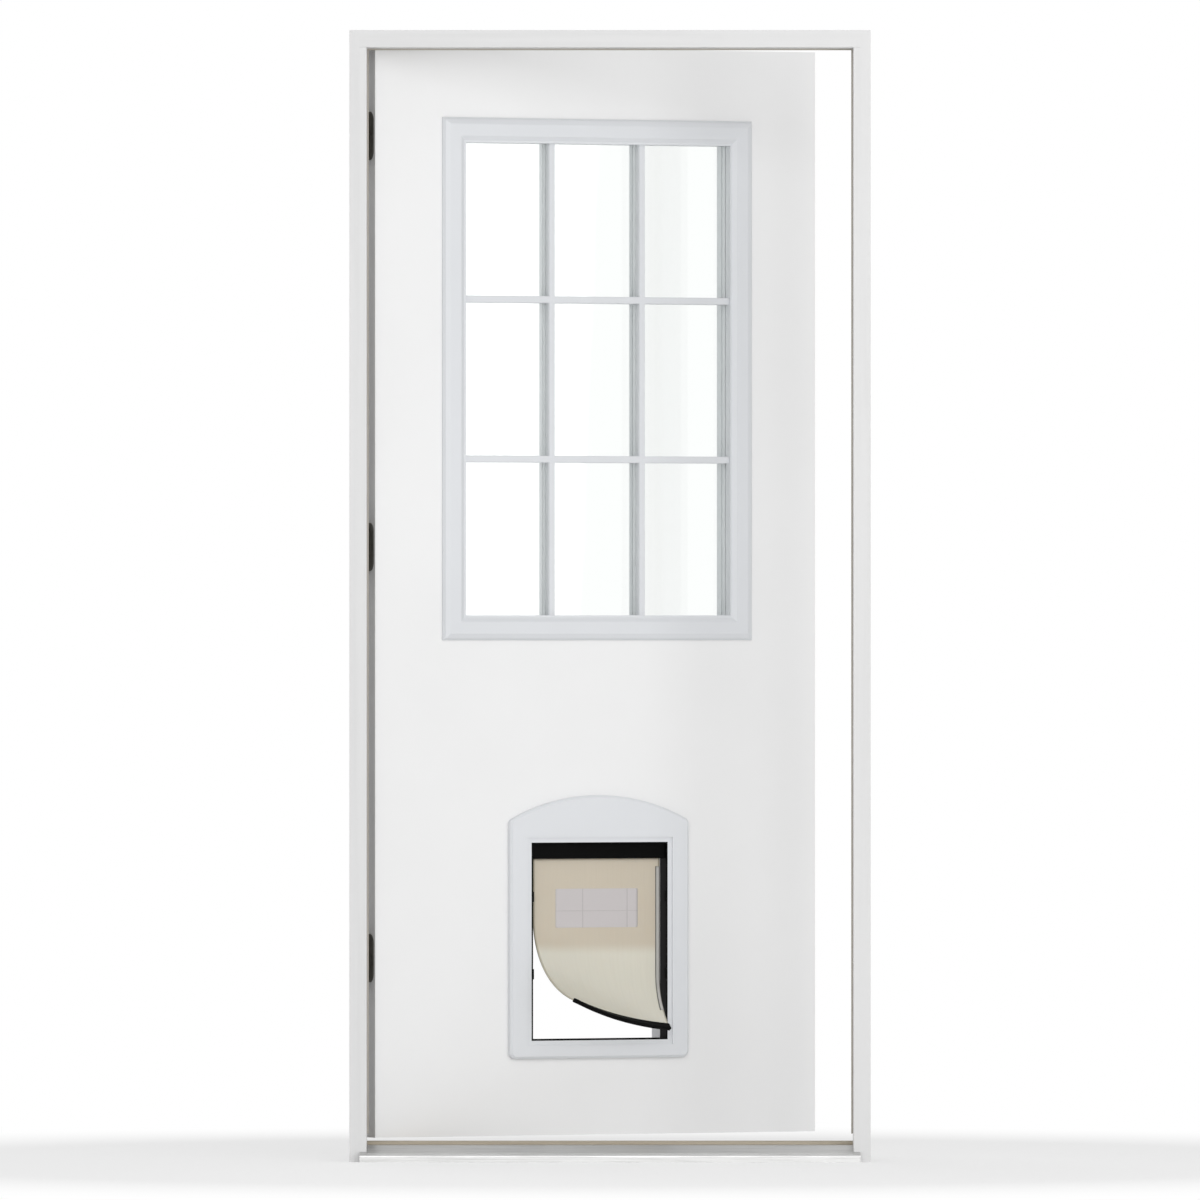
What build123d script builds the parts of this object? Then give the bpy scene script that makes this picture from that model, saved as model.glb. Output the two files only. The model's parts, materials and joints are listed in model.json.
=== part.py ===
from build123d import *
import os
from math import cos, radians, sin

# A prehung front door, ajar: a rabbeted frame on a sill, and a foam filled slab that carries a
# nine-pane window and a pet door with a curled flap. Millimetres, +X right seen from outside,
# +Y indoors, +Z up, origin on the underside of the sill at the middle of the doorway.

# Slab
slab_width = 908.0
slab_height = 2010.0
slab_thickness = 44.5
skin_thickness = 2.0
stile_width = 34.0
rail_height = 46.0
lock_edge_bevel = 2.3
door_gap = 5.2
sill_gap = 6.0
ajar_angle = 26.0

# Frame of jambs, head and sill
jamb_thickness = 31.75
jamb_depth = 116.0
rabbet_depth = 12.7
rabbet_width = 52.0
edge_round = 1.2
sill_nose = 28.0
sill_nose_height = 14.0
sill_tread_height = 30.0
sill_seat_height = 24.0
sill_cap_height = 36.0
sill_cap_width = 42.0
sill_cap_setback = 2.0

# Weatherstrip along the stops
strip_thickness = 5.0
strip_reach = 3.0
strip_round = 2.0
strip_foot_gap = 14.0

# Butt hinges
hinge_height = 89.0
hinge_half_width = 44.5
leaf_thickness = 2.5
leaf_corner = 15.9
knuckle_radius = 6.35
knuckle_offset = 7.0
knuckle_gap = 0.3
knuckle_count = 5
pin_radius = 3.5
pin_clearance = 0.05
pin_head_radius = 5.2
pin_head_height = 3.0
mortise_clearance = 0.15
lower_hinge_up = 330.0
upper_hinge_drop = 167.0

# Window
lite_width = 636.0
lite_height = 964.0
lite_drop = 131.0
lite_border = 46.0
lite_rise = 12.0
lite_lip = 4.0
lite_leg = 12.0
glass_unit = 19.0
pane_thickness = 3.2
glass_cover = 10.0
glass_edge_room = 3.0
bar_width = 12.6
bar_chamfer = 1.2
panes_across = 3
panes_up = 3

# Pet door
pet_width = 367.0
pet_shoulder = 440.0
pet_arch = 46.0
pet_height_up = 142.0
pet_rise = 14.0
pet_corner = 12.0
pet_edge = 4.0
pet_opening_width = 280.0
pet_opening_height = 366.0
pet_opening_up = 33.0
pet_lip = 9.0
pet_lip_depth = 3.0
tunnel_wall = 5.0
tunnel_fit = 0.4
ring_wall = 3.0
ring_length = 26.0
tab_length = 19.0
tab_reach = 2.0
tab_depth = 8.0
tab_drops = (100.0, 243.0)
bar_drop = 27.0
bar_length = 20.0
bar_setback = 5.0

# Vinyl flap with its lower hinge-side corner curled outwards
flap_gap = 7.0
flap_length = 326.0
flap_thickness = 3.0
bead_radius = 3.0
bead_room = 0.4
bead_drop = 1.2
magnet_width = 13.0
magnet_thickness = 6.5
magnet_seat = 0.2
curl_slant = 23.7
curl_start = 147.0
curl_turn = 85.0
curl_growth = 0.9
curl_steps = 60
tip_cut = 3.0
roll_sections = 5
magnet_sections = 6

os.makedirs("parts", exist_ok=True)

# Places worked out from the sizes above
rabbet_x = slab_width / 2 + door_gap
stop_x = rabbet_x - rabbet_depth
back_x = rabbet_x + jamb_thickness - rabbet_depth
indoor_y = jamb_depth / 2
outdoor_y = -jamb_depth / 2
stop_y = indoor_y - rabbet_width
slab_foot = sill_cap_height + sill_gap
rabbet_top = slab_foot + slab_height + door_gap
stop_top = rabbet_top - rabbet_depth
frame_top = rabbet_top + jamb_thickness - rabbet_depth
tread_back_y = stop_y + sill_cap_setback
nose_y = outdoor_y - sill_nose
tread_slope = (sill_tread_height - sill_nose_height) / (tread_back_y - nose_y)

# Directions of the ajar slab: along its width, and square to it towards the room
pin_at = Vector(-rabbet_x + door_gap / 2, indoor_y + knuckle_offset)
turn = radians(ajar_angle)
along = Vector(cos(turn), sin(turn))
inward = Vector(-sin(turn), cos(turn))
outer_face = -knuckle_offset - slab_thickness
hinge_edge = door_gap / 2
lock_edge = hinge_edge + slab_width
slab_middle = hinge_edge + slab_width / 2

# Hinge levels, the middle one halfway between the other two
lower_level = slab_foot + lower_hinge_up
upper_level = slab_foot + slab_height - upper_hinge_drop
hinge_levels = {
    "lower": lower_level,
    "middle": (lower_level + upper_level) / 2,
    "upper": upper_level,
}

# Heights on the slab, above its foot
lite_middle = slab_height - lite_drop - lite_height / 2
opening_foot = pet_height_up + pet_opening_up
opening_middle = opening_foot + pet_opening_height / 2
opening_top = opening_foot + pet_opening_height
lite_open_width = lite_width - 2 * lite_border
lite_open_height = lite_height - 2 * lite_border
glass_width = lite_open_width + 2 * glass_cover
glass_height = lite_open_height + 2 * glass_cover
lite_cut_width = lite_open_width + 2 * max(lite_leg, glass_cover + glass_edge_room)
lite_cut_height = lite_open_height + 2 * max(lite_leg, glass_cover + glass_edge_room)
leg_length = (slab_thickness - glass_unit) / 2
tunnel_width = pet_opening_width + 2 * tunnel_wall
tunnel_height = pet_opening_height + 2 * tunnel_wall


def tread_level(y):
    """Height of the sloping tread at a depth y."""
    return sill_nose_height + (y - nose_y) * tread_slope


def door_point(a, b, z):
    """Point at a along the slab and b indoors of the hinge pin, at a height."""
    return pin_at + along * a + inward * b + Vector(0, 0, z)


def outdoor_plane(depth, height=0):
    """Plane facing outdoors, at a depth behind the slab's outer face and a height above its foot."""
    origin = door_point(slab_middle, outer_face + depth, slab_foot + height)
    return Plane(origin=origin, x_dir=along, z_dir=-inward)


def indoor_plane(depth, height=0):
    """Plane facing indoors, at a depth behind the slab's inner face and a height above its foot."""
    origin = door_point(slab_middle, -knuckle_offset - depth, slab_foot + height)
    return Plane(origin=origin, x_dir=-along, z_dir=inward)


def door_floor(height):
    """Level plane measured along and across the ajar slab from the hinge pin."""
    return Plane(origin=door_point(0, 0, slab_foot + height), x_dir=along, z_dir=(0, 0, 1))


def write(part, label):
    """Label a finished piece and write it to its own file."""
    part.label = label
    export_step(part, "parts/" + label + ".step")


# Hinges: each leaf is let in flush and carries every other knuckle of the barrel
def leaf_plane(level, angle, side):
    """Plane on a leaf's open face: x outdoors from the edge, z into the wood."""
    reach = Vector(cos(radians(angle)), sin(radians(angle))) * side
    back = Vector(-sin(radians(angle)), cos(radians(angle)))
    origin = pin_at + reach * (door_gap / 2) - back * knuckle_offset + Vector(0, 0, level)
    return Plane(origin=origin, x_dir=-back, z_dir=reach)


def leaf_outline(room):
    """Leaf outline with its two far corners rounded, inside the sketch in use."""
    width = hinge_half_width - knuckle_offset + room
    with BuildSketch(mode=Mode.PRIVATE) as outline:
        Rectangle(width, hinge_height + 2 * room, align=(Align.MIN, Align.CENTER))
        fillet(outline.vertices().group_by(Axis.X)[-1], leaf_corner)
    add(outline.sketch)


def cut_mortises(angle, side):
    """Cut the pockets for all three leaves of one side into the part in use."""
    for level in hinge_levels.values():
        with BuildSketch(leaf_plane(level, angle, side)) as pocket:
            leaf_outline(mortise_clearance)
        extrude(pocket.sketch, amount=leaf_thickness, mode=Mode.SUBTRACT)


def hinge_leaf(label, level, angle, side, first):
    """One hinge leaf with the knuckles of the barrel that belong to it."""
    plate = leaf_plane(level, angle, side)
    pitch = hinge_height / knuckle_count
    foot = level - hinge_height / 2
    ring_plane = Plane(origin=pin_at + Vector(0, 0, foot), x_dir=-plate.x_dir, z_dir=(0, 0, 1))
    strap_side = -side
    with BuildPart() as leaf:
        with BuildSketch(plate):
            leaf_outline(0)
        extrude(amount=leaf_thickness)
        for index in range(first, knuckle_count, 2):
            with BuildSketch(ring_plane.offset(index * pitch + knuckle_gap / 2)):
                Circle(knuckle_radius)
                with Locations((-knuckle_offset / 2, strap_side * (door_gap + leaf_thickness) / 2)):
                    Rectangle(knuckle_offset, leaf_thickness)
            extrude(amount=pitch - knuckle_gap)
        with BuildSketch(ring_plane):
            Circle(pin_radius + pin_clearance)
        extrude(amount=hinge_height, mode=Mode.SUBTRACT)
    write(leaf.part, label)


for place, level in hinge_levels.items():
    hinge_leaf(place + "_jamb_leaf", level, 0, -1, 0)
    hinge_leaf(place + "_door_leaf", level, ajar_angle, 1, 1)
    with BuildPart() as hinge_pin:
        with BuildSketch(Plane.XY.offset(level - hinge_height / 2)):
            with Locations((pin_at.X, pin_at.Y)):
                Circle(pin_radius)
        extrude(amount=hinge_height)
        with BuildSketch(Plane.XY.offset(level + hinge_height / 2)):
            with Locations((pin_at.X, pin_at.Y)):
                Circle(pin_head_radius)
        extrude(amount=pin_head_height)
        chamfer(hinge_pin.edges().group_by(Axis.Z)[-1], pin_head_height / 3)
    write(hinge_pin.part, place + "_hinge_pin")


# Side jambs: a full-height board, and a stop that stands between the tread and the head
def side_jamb(label, side):
    """A rabbeted side jamb, cut away at its head and foot for the head jamb and the sill."""
    with BuildPart() as jamb:
        with BuildSketch(Plane.XY):
            with Locations((side * (rabbet_x + back_x) / 2, 0)):
                Rectangle(back_x - rabbet_x, jamb_depth)
        extrude(amount=frame_top)
        with BuildSketch(Plane.YZ.offset(side * rabbet_x)):
            with BuildLine():
                Polyline(
                    (outdoor_y, tread_level(outdoor_y)),
                    (stop_y, tread_level(stop_y)),
                    (stop_y, stop_top),
                    (outdoor_y, stop_top),
                    close=True,
                )
            make_face()
        extrude(amount=-side * rabbet_depth)
        inner_edges = jamb.edges().filter_by(Axis.Z).sort_by(Axis.X)
        fillet(inner_edges[:2] if side > 0 else inner_edges[-2:], edge_round)
        if side < 0:
            cut_mortises(0, -1)
    write(jamb.part, label)


side_jamb("hinge_jamb", -1)
side_jamb("strike_jamb", 1)

with BuildPart() as head_jamb:
    with BuildSketch(Plane.YZ.offset(-rabbet_x)):
        with BuildLine():
            Polyline(
                (outdoor_y, frame_top),
                (outdoor_y, stop_top),
                (stop_y, stop_top),
                (stop_y, rabbet_top),
                (indoor_y, rabbet_top),
                (indoor_y, frame_top),
                close=True,
            )
        make_face()
    extrude(amount=2 * rabbet_x)
    fillet(head_jamb.edges().filter_by(Axis.X).group_by(Axis.Z)[0], edge_round)
write(head_jamb.part, "head_jamb")

# Sill: a sloping tread with a seat for the cap under the slab
with BuildPart() as sill:
    with BuildSketch(Plane.YZ.offset(-rabbet_x)):
        with BuildLine():
            Polyline(
                (nose_y, 0),
                (indoor_y, 0),
                (indoor_y, sill_seat_height),
                (tread_back_y, sill_seat_height),
                (tread_back_y, sill_tread_height),
                (nose_y, sill_nose_height),
                close=True,
            )
        make_face()
    extrude(amount=2 * rabbet_x)
    fillet(sill.edges().filter_by(Axis.X).group_by(Axis.Y)[0].sort_by(Axis.Z)[-1], sill_nose_height / 3)
write(sill.part, "sill")

with BuildPart() as sill_cap:
    with BuildSketch(Plane.YZ.offset(-rabbet_x)):
        with Locations((tread_back_y, sill_seat_height)):
            Rectangle(sill_cap_width, sill_cap_height - sill_seat_height, align=(Align.MIN, Align.MIN))
    extrude(amount=2 * rabbet_x)
    fillet(sill_cap.edges().filter_by(Axis.X).group_by(Axis.Z)[-1], sill_cap_setback * 2)
write(sill_cap.part, "sill_cap")


# Weatherstrip: a soft bulb in the corner of each rabbet that peeps past the stop
strip_width = rabbet_depth + strip_reach
strip_foot = sill_cap_height + strip_foot_gap


def side_strip(label, side):
    """Weatherstrip along one side jamb."""
    with BuildPart() as strip:
        with BuildSketch(Plane.XY.offset(strip_foot)):
            with Locations((side * (rabbet_x - strip_width / 2), stop_y + strip_thickness / 2)):
                Rectangle(strip_width, strip_thickness)
        extrude(amount=stop_top - strip_reach - strip_foot)
        bulb = strip.edges().filter_by(Axis.Z).sort_by(Axis.X)
        fillet(bulb[:2] if side > 0 else bulb[-2:], strip_round)
    write(strip.part, label)


side_strip("hinge_weatherstrip", -1)
side_strip("strike_weatherstrip", 1)

with BuildPart() as head_strip:
    with BuildSketch(Plane.YZ.offset(-rabbet_x)):
        with Locations((stop_y + strip_thickness / 2, rabbet_top - strip_width / 2)):
            Rectangle(strip_thickness, strip_width)
    extrude(amount=2 * rabbet_x)
    fillet(head_strip.edges().filter_by(Axis.X).group_by(Axis.Z)[0], strip_round)
write(head_strip.part, "head_weatherstrip")


# Slab: two skins over a frame of stiles and rails round a foam core
def slab_cutouts():
    """Window and pet door cut-outs of the sketch in use, seen on the slab's face."""
    with Locations((0, lite_middle)):
        Rectangle(lite_cut_width, lite_cut_height, mode=Mode.SUBTRACT)
    with Locations((0, opening_middle)):
        Rectangle(tunnel_width + 2 * tunnel_fit, tunnel_height + 2 * tunnel_fit, mode=Mode.SUBTRACT)


with BuildPart() as outdoor_skin:
    with BuildSketch(outdoor_plane(skin_thickness)):
        with Locations((-lock_edge_bevel / 2, slab_height / 2)):
            Rectangle(slab_width - lock_edge_bevel, slab_height)
        slab_cutouts()
    extrude(amount=skin_thickness)
write(outdoor_skin.part, "outdoor_skin")

with BuildPart() as indoor_skin:
    with BuildSketch(indoor_plane(skin_thickness)):
        with Locations((0, slab_height / 2)):
            Rectangle(slab_width, slab_height)
        slab_cutouts()
    extrude(amount=skin_thickness)
    cut_mortises(ajar_angle, 1)
write(indoor_skin.part, "indoor_skin")

core_back = -knuckle_offset - skin_thickness
core_front = outer_face + skin_thickness
core_depth = core_back - core_front
with BuildPart() as hinge_stile:
    with BuildSketch(door_floor(0)):
        with Locations((hinge_edge, core_front)):
            Rectangle(stile_width, core_depth, align=(Align.MIN, Align.MIN))
    extrude(amount=slab_height)
    cut_mortises(ajar_angle, 1)
write(hinge_stile.part, "hinge_stile")

with BuildPart() as lock_stile:
    with BuildSketch(door_floor(0)):
        with BuildLine():
            Polyline(
                (lock_edge - stile_width, core_front),
                (lock_edge - lock_edge_bevel, core_front),
                (lock_edge, core_back),
                (lock_edge - stile_width, core_back),
                close=True,
            )
        make_face()
    extrude(amount=slab_height)
write(lock_stile.part, "lock_stile")


def cross_rail(label, height):
    """A rail between the stiles, from a height above the slab's foot."""
    with BuildPart() as rail:
        with BuildSketch(door_floor(height)):
            with Locations((slab_middle, core_front)):
                Rectangle(slab_width - 2 * stile_width, core_depth, align=(Align.CENTER, Align.MIN))
        extrude(amount=rail_height)
    write(rail.part, label)


cross_rail("bottom_rail", 0)
cross_rail("top_rail", slab_height - rail_height)

with BuildPart() as foam_core:
    with BuildSketch(outdoor_plane(slab_thickness - skin_thickness)):
        with Locations((0, slab_height / 2)):
            Rectangle(slab_width - 2 * stile_width, slab_height - 2 * rail_height)
        slab_cutouts()
    extrude(amount=core_depth)
write(foam_core.part, "foam_core")


# Window: two moulded frames that clamp a sealed glass unit, each with its grille of bars
def lite_frame(label, face_plane):
    """Moulded window frame: a stepped border on the skin and a leg that reaches in to the glass."""
    base = face_plane(0, lite_middle)
    half_width = lite_open_width / 2
    half_height = lite_open_height / 2
    with BuildPart() as frame:
        with BuildLine(base) as route:
            Polyline(
                (half_width, 0),
                (half_width, half_height),
                (-half_width, half_height),
                (-half_width, -half_height),
                (half_width, -half_height),
                close=True,
            )
        with BuildSketch(Plane(base.origin + base.x_dir * half_width, base.x_dir, base.y_dir)):
            with BuildLine():
                Polyline(
                    (0, leg_length),
                    (0, -lite_rise * 0.6),
                    (lite_lip, -lite_rise * 0.6),
                    (lite_leg, -lite_rise),
                    (lite_border - lite_leg, -lite_rise),
                    (lite_border - lite_lip, -lite_rise * 0.7),
                    (lite_border, -lite_rise * 0.3),
                    (lite_border, 0),
                    (lite_leg, 0),
                    (lite_leg, leg_length),
                    close=True,
                )
            make_face()
        sweep(path=route.wire(), transition=Transition.RIGHT)
    write(frame.part, label)


lite_frame("outdoor_lite_frame", outdoor_plane)
lite_frame("indoor_lite_frame", indoor_plane)


def bar_grid(width):
    """Crossing bars of a width over the window's opening, inside the sketch in use."""
    pitch_x = (lite_open_width + bar_width) / panes_across
    pitch_y = (lite_open_height + bar_width) / panes_up
    with Locations((0, lite_middle)):
        with GridLocations(pitch_x, 0, panes_across - 1, 1):
            Rectangle(width, lite_open_height)
        with GridLocations(0, pitch_y, 1, panes_up - 1):
            Rectangle(lite_open_width, width)


def grille(label, face_plane):
    """Bars that part the glass into panes, from the glass to the level of the skin."""
    with BuildPart() as bars:
        with BuildSketch(face_plane(leg_length)):
            bar_grid(bar_width)
        extrude(amount=leg_length - bar_chamfer)
        with BuildSketch(face_plane(bar_chamfer)):
            bar_grid(bar_width - 2 * bar_chamfer)
        extrude(amount=bar_chamfer)
    write(bars.part, label)


grille("outdoor_grille", outdoor_plane)
grille("indoor_grille", indoor_plane)


def glass_pane(label, face_plane):
    """One sheet of the sealed glass unit, against the window frame's leg."""
    with BuildPart() as pane:
        with BuildSketch(face_plane(leg_length + pane_thickness)):
            with Locations((0, lite_middle)):
                Rectangle(glass_width, glass_height)
        extrude(amount=pane_thickness)
    write(pane.part, label)


glass_pane("outdoor_glass", outdoor_plane)
glass_pane("indoor_glass", indoor_plane)

# Spacer between the panes: a rim and, behind the grilles, bars of the same width
with BuildPart() as glass_spacer:
    with BuildSketch(outdoor_plane(leg_length + glass_unit - pane_thickness)):
        with Locations((0, lite_middle)):
            Rectangle(glass_width, glass_height)
            Rectangle(lite_open_width, lite_open_height, mode=Mode.SUBTRACT)
        bar_grid(bar_width)
    extrude(amount=glass_unit - 2 * pane_thickness)
write(glass_spacer.part, "glass_spacer")


# Pet door: arched frames on both faces, a tunnel through the slab and the flap's own ring
def pet_frame(label, face_plane):
    """Arched pet door frame with a sunk lip round its opening."""
    shoulder_y = pet_height_up + pet_shoulder
    half_width = pet_width / 2
    with BuildPart() as frame:
        with BuildSketch(face_plane(0)) as outline:
            with BuildLine():
                Polyline(
                    (-half_width, shoulder_y),
                    (-half_width, pet_height_up),
                    (half_width, pet_height_up),
                    (half_width, shoulder_y),
                )
                ThreePointArc(
                    (half_width, shoulder_y),
                    (0, shoulder_y + pet_arch),
                    (-half_width, shoulder_y),
                )
            make_face()
            fillet(outline.vertices(), pet_corner)
        extrude(amount=pet_rise)
        front = frame.faces().sort_by(Axis(face_plane(0).origin, face_plane(0).z_dir))[-1]
        chamfer(front.edges(), pet_edge)
        with BuildSketch(face_plane(0)):
            with Locations((0, opening_middle)):
                Rectangle(pet_opening_width, pet_opening_height)
        extrude(amount=pet_rise, mode=Mode.SUBTRACT)
        with BuildSketch(face_plane(-pet_rise)):
            with Locations((0, opening_middle)):
                Rectangle(pet_opening_width + 2 * pet_lip, pet_opening_height + 2 * pet_lip)
        extrude(amount=-pet_lip_depth, mode=Mode.SUBTRACT)
    write(frame.part, label)


pet_frame("outdoor_pet_frame", outdoor_plane)
pet_frame("indoor_pet_frame", indoor_plane)

with BuildPart() as pet_tunnel:
    with BuildSketch(outdoor_plane(slab_thickness)):
        with Locations((0, opening_middle)):
            Rectangle(tunnel_width, tunnel_height)
            Rectangle(pet_opening_width, pet_opening_height, mode=Mode.SUBTRACT)
    extrude(amount=slab_thickness)
write(pet_tunnel.part, "pet_tunnel")

ring_front = pet_lip_depth - pet_rise
ring_open_width = pet_opening_width - 2 * ring_wall
ring_open_height = pet_opening_height - 2 * ring_wall
with BuildPart() as flap_ring:
    with BuildSketch(outdoor_plane(ring_front + ring_length)):
        with Locations((0, opening_middle)):
            Rectangle(pet_opening_width, pet_opening_height)
            Rectangle(ring_open_width, ring_open_height, mode=Mode.SUBTRACT)
    extrude(amount=ring_length)
    with BuildSketch(outdoor_plane(ring_front + tab_depth)):
        for drop in tab_drops:
            with Locations((0, opening_top - drop)):
                Rectangle(pet_opening_width, tab_length)
                Rectangle(ring_open_width - 2 * tab_reach, tab_length, mode=Mode.SUBTRACT)
    extrude(amount=tab_depth)
write(flap_ring.part, "flap_ring")

bar_top = opening_top - ring_wall
bar_foot = bar_top - bar_drop
axis_height = bar_foot - bead_drop
axis_depth = ring_front + bar_setback + bar_length / 2
with BuildPart() as flap_bar:
    with BuildSketch(outdoor_plane(axis_depth + bar_length / 2)):
        with Locations((0, (bar_top + bar_foot) / 2)):
            Rectangle(ring_open_width, bar_drop)
    extrude(amount=bar_length)
    axis_point = door_point(slab_middle - ring_open_width / 2, outer_face + axis_depth, slab_foot + axis_height)
    with BuildSketch(Plane(origin=axis_point, x_dir=inward, z_dir=along)):
        Circle(bead_radius + bead_room)
    extrude(amount=ring_open_width, mode=Mode.SUBTRACT)
write(flap_bar.part, "flap_bar")

# Flap: a flat sheet rolled outwards about a slanting line, so that one lower corner stands clear
flap_width = ring_open_width - 2 * flap_gap
slant = radians(curl_slant)
curl_span = flap_width / 2 * sin(slant) + flap_length * cos(slant) - curl_start


def curl(rolled):
    """Sum the turning sheet: distance gone along the sheet's own plane and out of it."""
    step = rolled / curl_steps
    ahead = 0.0
    out = 0.0
    for index in range(curl_steps):
        share = (index + 0.5) * step / curl_span
        angle = radians(curl_turn) * share ** curl_growth
        ahead += step * cos(angle)
        out += step * sin(angle)
    return ahead, out


def flap_point(x, drop):
    """Place on the rolled sheet of the point at x and drop on the flat one."""
    rolled = -x * sin(slant) + drop * cos(slant) - curl_start
    ahead, out = curl(rolled) if rolled > 0 else (rolled, 0.0)
    back = rolled - ahead
    side = slab_middle + x + back * sin(slant)
    height = slab_foot + axis_height - drop + back * cos(slant)
    return door_point(side, outer_face + axis_depth - out, height)


def flap_normal(x, drop):
    """Direction out of the rolled sheet, towards outdoors, at a place on the flat one."""
    rolled = max(0.0, -x * sin(slant) + drop * cos(slant) - curl_start)
    angle = radians(curl_turn) * (rolled / curl_span) ** curl_growth
    roll_way = along * -sin(slant) + Vector(0, 0, -cos(slant))
    return inward * -cos(angle) - roll_way * sin(angle)


def flap_section(x_from, drop_from, x_to, drop_to):
    """Plane and length of a section square to the sheet, between two places on the flat one."""
    first = flap_point(x_from, drop_from)
    span = flap_point(x_to, drop_to) - first
    normal = flap_normal(x_from, drop_from)
    return Plane(origin=first, x_dir=span, z_dir=span.cross(normal)), span.length


def drop_on_line(x, rolled):
    """Drop at x of the straight line on which the sheet has gone a rolled distance."""
    return (rolled + curl_start + x * sin(slant)) / cos(slant)


magnet_top = flap_length - magnet_width
half_flap = flap_width / 2
corner_roll = -half_flap * sin(slant) + magnet_top * cos(slant) - curl_start
tip_roll = half_flap * sin(slant) + magnet_top * cos(slant) - curl_start - tip_cut
with BuildPart() as pet_flap:
    with BuildSketch(outdoor_plane(axis_depth, axis_height)):
        with BuildLine():
            Polyline(
                (-half_flap, 0),
                (half_flap, 0),
                (half_flap, -drop_on_line(half_flap, 0)),
                (-half_flap, -drop_on_line(-half_flap, 0)),
                close=True,
            )
        make_face()
    extrude(amount=flap_thickness / 2, both=True)
    for band_start, band_end in ((0, corner_roll), (corner_roll, tip_roll)):
        for step in range(roll_sections + 1):
            rolled = band_start + (band_end - band_start) * step / roll_sections
            right_x = min(half_flap, (magnet_top * cos(slant) - curl_start - rolled) / sin(slant))
            plane, length = flap_section(
                -half_flap, drop_on_line(-half_flap, rolled), right_x, drop_on_line(right_x, rolled)
            )
            with BuildSketch(plane):
                Rectangle(length, flap_thickness, align=(Align.MIN, Align.CENTER))
        loft()
    bead_start = door_point(slab_middle - half_flap, outer_face + axis_depth, slab_foot + axis_height)
    with BuildSketch(Plane(origin=bead_start, x_dir=inward, z_dir=along)):
        Circle(bead_radius)
    extrude(amount=flap_width)
write(pet_flap.part, "pet_flap")

with BuildPart() as flap_magnet:
    for step in range(magnet_sections + 1):
        x = flap_width * (step / magnet_sections - 0.5)
        plane, length = flap_section(x, magnet_top + magnet_seat, x, flap_length)
        with BuildSketch(plane):
            Rectangle(length, magnet_thickness, align=(Align.MIN, Align.CENTER))
    loft()
write(flap_magnet.part, "flap_magnet")
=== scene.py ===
"""Looks of a prehung front door that stands ajar: every solid's finish, and the soft and small pieces."""

import json
import logging
import math
from dataclasses import dataclass
from enum import Enum

import bmesh
import bpy
import numpy as np
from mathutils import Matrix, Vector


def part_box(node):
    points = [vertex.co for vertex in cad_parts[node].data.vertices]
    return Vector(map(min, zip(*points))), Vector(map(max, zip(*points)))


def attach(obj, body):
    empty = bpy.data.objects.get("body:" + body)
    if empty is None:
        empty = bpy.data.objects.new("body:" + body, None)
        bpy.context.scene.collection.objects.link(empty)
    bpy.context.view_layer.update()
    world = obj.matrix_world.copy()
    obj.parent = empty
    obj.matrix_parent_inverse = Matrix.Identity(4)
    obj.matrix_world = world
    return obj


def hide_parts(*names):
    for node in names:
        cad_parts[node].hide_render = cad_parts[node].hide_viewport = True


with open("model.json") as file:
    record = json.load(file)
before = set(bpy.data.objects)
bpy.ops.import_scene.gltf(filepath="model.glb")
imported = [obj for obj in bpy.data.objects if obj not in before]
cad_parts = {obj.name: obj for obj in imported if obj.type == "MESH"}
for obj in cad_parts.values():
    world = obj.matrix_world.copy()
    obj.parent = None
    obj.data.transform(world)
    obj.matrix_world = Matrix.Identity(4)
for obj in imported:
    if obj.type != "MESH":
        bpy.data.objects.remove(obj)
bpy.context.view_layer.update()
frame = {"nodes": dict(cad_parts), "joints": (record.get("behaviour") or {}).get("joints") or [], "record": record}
LOG = logging.getLogger("front_door")
MERGE_DISTANCE = 1e-6
METRES_PER_MM = 0.001
PLAIN_WHITE = (1.0, 1.0, 1.0, 1.0)
MIX_COLOUR_INPUTS = (6, 7)
MIX_COLOUR_OUTPUT = 2
BLUE_CAST = (-1.0, -0.4, 0.5)

Triple = tuple[float, float, float]
Pair = tuple[float, float]
Socket = bpy.types.NodeSocket


class Body(str, Enum):
    """The three rigid bodies of the door unit."""

    FRAME = "frame"
    DOOR = "door"
    FLAP = "flap"


class Pattern(str, Enum):
    """Ways in which a finish varies over a surface."""

    FILM = "paint_film"
    GRAIN = "run_grain"


def joint(name: str) -> dict:
    """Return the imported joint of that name.

    Args:
        name: joint name in the record.

    Returns:
        The joint's entry, with its place, axis and range.
    """
    return next(entry for entry in frame["joints"] if entry["name"] == name)


@dataclass(frozen=True)
class SlabSpace:
    """Directions of the ajar slab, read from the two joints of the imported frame."""

    pin: np.ndarray
    flap_axis: np.ndarray
    along: np.ndarray
    outward: np.ndarray

    @classmethod
    def from_frame(cls) -> "SlabSpace":
        """Read the hinge pin, the flap's axis and the slab's two level directions.

        Returns:
            The slab's directions at rest.
        """
        along = np.array(joint("flap_swing")["axis"], float)
        along /= np.linalg.norm(along)
        outward = np.array([along[1], -along[0], 0.0])
        pin = np.array(joint("door_swing")["pos_m"], float)
        flap_axis = np.array(joint("flap_swing")["pos_m"], float)
        return cls(pin, flap_axis, along, outward)

    @property
    def turn(self) -> float:
        """Angle of the slab from closed, in radians."""
        return math.atan2(self.along[1], self.along[0])


def grid_quads(rows: int, columns: int, wrap: bool = False) -> np.ndarray:
    """Index the quads of a grid of points.

    Args:
        rows: number of rows of points.
        columns: number of points in a row.
        wrap: join the last column to the first.

    Returns:
        Array of four point numbers a face.
    """
    index = np.arange(rows * columns).reshape(rows, columns)
    if wrap:
        index = np.concatenate([index, index[:, :1]], axis=1)
    corners = (index[:-1, :-1], index[:-1, 1:], index[1:, 1:], index[1:, :-1])
    return np.stack(corners, axis=-1).reshape(-1, 4)


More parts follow.
